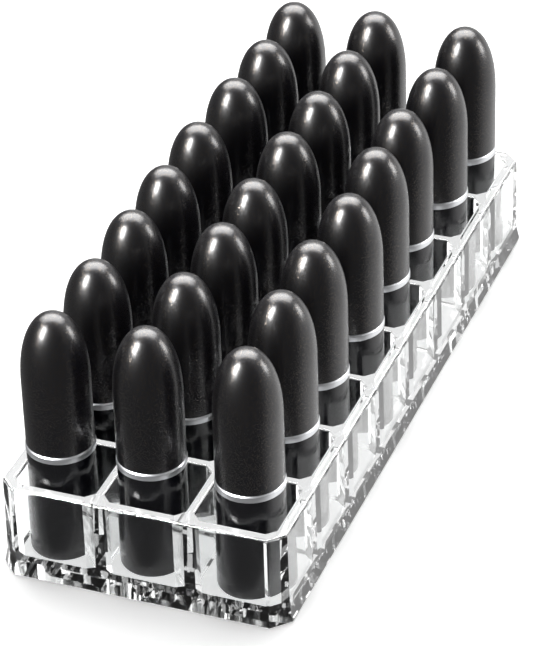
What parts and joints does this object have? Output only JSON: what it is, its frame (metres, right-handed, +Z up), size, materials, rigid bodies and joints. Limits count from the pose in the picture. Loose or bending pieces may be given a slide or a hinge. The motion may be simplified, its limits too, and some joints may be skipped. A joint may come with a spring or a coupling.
{
  "type": "lipstick organizer",
  "caption": "Clear moulded vanity tray with octagonal cells, holding capped bullet-shaped lipsticks that lift out, uncap and twist up.",
  "frame": {"origin": "centre of the tray's underside", "axes": "+Z up, +Y along the long rows of cells away from the front end, +X to the right across the columns"},
  "size_m": [0.086, 0.2186, 0.0802],
  "materials": {
    "clear_acrylic": "clear, polished",
    "black_cap": "black lacquer with fine pearl flake",
    "black_barrel": "smooth black",
    "silver_ring": "bright anodised",
    "silver_sleeve": "bright anodised",
    "white_plastic": "natural moulded",
    "lipstick": "waxy satin"
  },
  "bodies": {
    "tray": {"moulded_tray": "clear_acrylic"},
    "lipstick_left_1": {"lipstick_left_1": "black_barrel"},
    "cap_left_1": {"cap_left_1": "black_cap"},
    "lipstick_left_2": {"lipstick_left_2": "black_barrel"},
    "cap_left_2": {"cap_left_2": "black_cap"},
    "lipstick_left_3": {"lipstick_left_3": "black_barrel"},
    "cap_left_3": {"cap_left_3": "black_cap"},
    "lipstick_left_4": {"lipstick_left_4": "black_barrel"},
    "cap_left_4": {"cap_left_4": "black_cap"},
    "lipstick_left_5": {"lipstick_left_5": "black_barrel"},
    "cap_left_5": {"cap_left_5": "black_cap"},
    "lipstick_left_6": {"lipstick_left_6": "black_barrel"},
    "cap_left_6": {"cap_left_6": "black_cap"},
    "lipstick_left_7": {"lipstick_left_7": "black_barrel"},
    "cap_left_7": {"cap_left_7": "black_cap"},
    "lipstick_left_8": {"lipstick_left_8": "black_barrel"},
    "cap_left_8": {"cap_left_8": "black_cap"},
    "lipstick_middle_1": {"lipstick_middle_1": "black_barrel"},
    "cap_middle_1": {"cap_middle_1": "black_cap"},
    "lipstick_middle_2": {"lipstick_middle_2": "black_barrel"},
    "cap_middle_2": {"cap_middle_2": "black_cap"},
    "lipstick_middle_3": {"lipstick_middle_3": "black_barrel"},
    "cap_middle_3": {"cap_middle_3": "black_cap"},
    "lipstick_middle_4": {"lipstick_middle_4": "black_barrel"},
    "cap_middle_4": {"cap_middle_4": "black_cap"},
    "lipstick_middle_5": {"lipstick_middle_5": "black_barrel"},
    "cap_middle_5": {"cap_middle_5": "black_cap"},
    "lipstick_middle_6": {"lipstick_middle_6": "black_barrel"},
    "cap_middle_6": {"cap_middle_6": "black_cap"},
    "lipstick_middle_7": {"lipstick_middle_7": "black_barrel"},
    "cap_middle_7": {"cap_middle_7": "black_cap"},
    "lipstick_middle_8": {"lipstick_middle_8": "black_barrel"},
    "cap_middle_8": {"cap_middle_8": "black_cap"},
    "lipstick_right_1": {"barrel_right_1": "black_barrel", "collar_ring_right_1": "silver_ring", "slotted_tube_right_1": "white_plastic"},
    "sleeve_right_1": {"spiral_sleeve_right_1": "silver_sleeve"},
    "carrier_right_1": {"carrier_cup_right_1": "white_plastic", "bullet_right_1": "lipstick"},
    "cap_right_1": {"cap_right_1": "black_cap"},
    "lipstick_right_2": {"lipstick_right_2": "black_barrel"},
    "cap_right_2": {"cap_right_2": "black_cap"},
    "lipstick_right_3": {"lipstick_right_3": "black_barrel"},
    "cap_right_3": {"cap_right_3": "black_cap"},
    "lipstick_right_4": {"lipstick_right_4": "black_barrel"},
    "cap_right_4": {"cap_right_4": "black_cap"},
    "lipstick_right_5": {"lipstick_right_5": "black_barrel"},
    "cap_right_5": {"cap_right_5": "black_cap"},
    "lipstick_right_6": {"lipstick_right_6": "black_barrel"},
    "cap_right_6": {"cap_right_6": "black_cap"},
    "lipstick_right_7": {"lipstick_right_7": "black_barrel"},
    "cap_right_7": {"cap_right_7": "black_cap"},
    "lipstick_right_8": {"lipstick_right_8": "black_barrel"},
    "cap_right_8": {"cap_right_8": "black_cap"}
  },
  "joints": [
    {"name": "lift_left_1", "type": "slide", "parent": "tray", "child": "lipstick_left_1", "axis": [0, 0, 1], "range_m": [0, 0.085]},
    {"name": "uncap_left_1", "type": "slide", "parent": "lipstick_left_1", "child": "cap_left_1", "axis": [0, 0, 1], "range_m": [0, 0.045]},
    {"name": "lift_left_2", "type": "slide", "parent": "tray", "child": "lipstick_left_2", "axis": [0, 0, 1], "range_m": [0, 0.085]},
    {"name": "uncap_left_2", "type": "slide", "parent": "lipstick_left_2", "child": "cap_left_2", "axis": [0, 0, 1], "range_m": [0, 0.045]},
    {"name": "lift_left_3", "type": "slide", "parent": "tray", "child": "lipstick_left_3", "axis": [0, 0, 1], "range_m": [0, 0.085]},
    {"name": "uncap_left_3", "type": "slide", "parent": "lipstick_left_3", "child": "cap_left_3", "axis": [0, 0, 1], "range_m": [0, 0.045]},
    {"name": "lift_left_4", "type": "slide", "parent": "tray", "child": "lipstick_left_4", "axis": [0, 0, 1], "range_m": [0, 0.085]},
    {"name": "uncap_left_4", "type": "slide", "parent": "lipstick_left_4", "child": "cap_left_4", "axis": [0, 0, 1], "range_m": [0, 0.045]},
    {"name": "lift_left_5", "type": "slide", "parent": "tray", "child": "lipstick_left_5", "axis": [0, 0, 1], "range_m": [0, 0.085]},
    {"name": "uncap_left_5", "type": "slide", "parent": "lipstick_left_5", "child": "cap_left_5", "axis": [0, 0, 1], "range_m": [0, 0.045]},
    {"name": "lift_left_6", "type": "slide", "parent": "tray", "child": "lipstick_left_6", "axis": [0, 0, 1], "range_m": [0, 0.085]},
    {"name": "uncap_left_6", "type": "slide", "parent": "lipstick_left_6", "child": "cap_left_6", "axis": [0, 0, 1], "range_m": [0, 0.045]},
    {"name": "lift_left_7", "type": "slide", "parent": "tray", "child": "lipstick_left_7", "axis": [0, 0, 1], "range_m": [0, 0.085]},
    {"name": "uncap_left_7", "type": "slide", "parent": "lipstick_left_7", "child": "cap_left_7", "axis": [0, 0, 1], "range_m": [0, 0.045]},
    {"name": "lift_left_8", "type": "slide", "parent": "tray", "child": "lipstick_left_8", "axis": [0, 0, 1], "range_m": [0, 0.085]},
    {"name": "uncap_left_8", "type": "slide", "parent": "lipstick_left_8", "child": "cap_left_8", "axis": [0, 0, 1], "range_m": [0, 0.045]},
    {"name": "lift_middle_1", "type": "slide", "parent": "tray", "child": "lipstick_middle_1", "axis": [0, 0, 1], "range_m": [0, 0.085]},
    {"name": "uncap_middle_1", "type": "slide", "parent": "lipstick_middle_1", "child": "cap_middle_1", "axis": [0, 0, 1], "range_m": [0, 0.045]},
    {"name": "lift_middle_2", "type": "slide", "parent": "tray", "child": "lipstick_middle_2", "axis": [0, 0, 1], "range_m": [0, 0.085]},
    {"name": "uncap_middle_2", "type": "slide", "parent": "lipstick_middle_2", "child": "cap_middle_2", "axis": [0, 0, 1], "range_m": [0, 0.045]},
    {"name": "lift_middle_3", "type": "slide", "parent": "tray", "child": "lipstick_middle_3", "axis": [0, 0, 1], "range_m": [0, 0.085]},
    {"name": "uncap_middle_3", "type": "slide", "parent": "lipstick_middle_3", "child": "cap_middle_3", "axis": [0, 0, 1], "range_m": [0, 0.045]},
    {"name": "lift_middle_4", "type": "slide", "parent": "tray", "child": "lipstick_middle_4", "axis": [0, 0, 1], "range_m": [0, 0.085]},
    {"name": "uncap_middle_4", "type": "slide", "parent": "lipstick_middle_4", "child": "cap_middle_4", "axis": [0, 0, 1], "range_m": [0, 0.045]},
    {"name": "lift_middle_5", "type": "slide", "parent": "tray", "child": "lipstick_middle_5", "axis": [0, 0, 1], "range_m": [0, 0.085]},
    {"name": "uncap_middle_5", "type": "slide", "parent": "lipstick_middle_5", "child": "cap_middle_5", "axis": [0, 0, 1], "range_m": [0, 0.045]},
    {"name": "lift_middle_6", "type": "slide", "parent": "tray", "child": "lipstick_middle_6", "axis": [0, 0, 1], "range_m": [0, 0.085]},
    {"name": "uncap_middle_6", "type": "slide", "parent": "lipstick_middle_6", "child": "cap_middle_6", "axis": [0, 0, 1], "range_m": [0, 0.045]},
    {"name": "lift_middle_7", "type": "slide", "parent": "tray", "child": "lipstick_middle_7", "axis": [0, 0, 1], "range_m": [0, 0.085]},
    {"name": "uncap_middle_7", "type": "slide", "parent": "lipstick_middle_7", "child": "cap_middle_7", "axis": [0, 0, 1], "range_m": [0, 0.045]},
    {"name": "lift_middle_8", "type": "slide", "parent": "tray", "child": "lipstick_middle_8", "axis": [0, 0, 1], "range_m": [0, 0.085]},
    {"name": "uncap_middle_8", "type": "slide", "parent": "lipstick_middle_8", "child": "cap_middle_8", "axis": [0, 0, 1], "range_m": [0, 0.045]},
    {"name": "lift_right_1", "type": "slide", "parent": "tray", "child": "lipstick_right_1", "axis": [0, 0, 1], "range_m": [0, 0.085]},
    {"name": "uncap_right_1", "type": "slide", "parent": "lipstick_right_1", "child": "cap_right_1", "axis": [0, 0, 1], "range_m": [0, 0.045]},
    {"name": "lift_right_2", "type": "slide", "parent": "tray", "child": "lipstick_right_2", "axis": [0, 0, 1], "range_m": [0, 0.085]},
    {"name": "uncap_right_2", "type": "slide", "parent": "lipstick_right_2", "child": "cap_right_2", "axis": [0, 0, 1], "range_m": [0, 0.045]},
    {"name": "lift_right_3", "type": "slide", "parent": "tray", "child": "lipstick_right_3", "axis": [0, 0, 1], "range_m": [0, 0.085]},
    {"name": "uncap_right_3", "type": "slide", "parent": "lipstick_right_3", "child": "cap_right_3", "axis": [0, 0, 1], "range_m": [0, 0.045]},
    {"name": "lift_right_4", "type": "slide", "parent": "tray", "child": "lipstick_right_4", "axis": [0, 0, 1], "range_m": [0, 0.085]},
    {"name": "uncap_right_4", "type": "slide", "parent": "lipstick_right_4", "child": "cap_right_4", "axis": [0, 0, 1], "range_m": [0, 0.045]},
    {"name": "lift_right_5", "type": "slide", "parent": "tray", "child": "lipstick_right_5", "axis": [0, 0, 1], "range_m": [0, 0.085]},
    {"name": "uncap_right_5", "type": "slide", "parent": "lipstick_right_5", "child": "cap_right_5", "axis": [0, 0, 1], "range_m": [0, 0.045]},
    {"name": "lift_right_6", "type": "slide", "parent": "tray", "child": "lipstick_right_6", "axis": [0, 0, 1], "range_m": [0, 0.085]},
    {"name": "uncap_right_6", "type": "slide", "parent": "lipstick_right_6", "child": "cap_right_6", "axis": [0, 0, 1], "range_m": [0, 0.045]},
    {"name": "lift_right_7", "type": "slide", "parent": "tray", "child": "lipstick_right_7", "axis": [0, 0, 1], "range_m": [0, 0.085]},
    {"name": "uncap_right_7", "type": "slide", "parent": "lipstick_right_7", "child": "cap_right_7", "axis": [0, 0, 1], "range_m": [0, 0.045]},
    {"name": "lift_right_8", "type": "slide", "parent": "tray", "child": "lipstick_right_8", "axis": [0, 0, 1], "range_m": [0, 0.085]},
    {"name": "uncap_right_8", "type": "slide", "parent": "lipstick_right_8", "child": "cap_right_8", "axis": [0, 0, 1], "range_m": [0, 0.045]},
    {"name": "twist_right_1", "type": "hinge", "parent": "lipstick_right_1", "child": "sleeve_right_1", "pos_m": [0.02795, -0.09428, 0.02], "axis": [0, 0, 1], "range_deg": [0, 540]},
    {"name": "rise_right_1", "type": "slide", "parent": "lipstick_right_1", "child": "carrier_right_1", "axis": [0, 0, 1], "range_m": [0, 0.015]}
  ],
  "couplings": [
    {"joint": "rise_right_1", "follows": "twist_right_1", "m_per_rad": 0.001591}
  ]
}
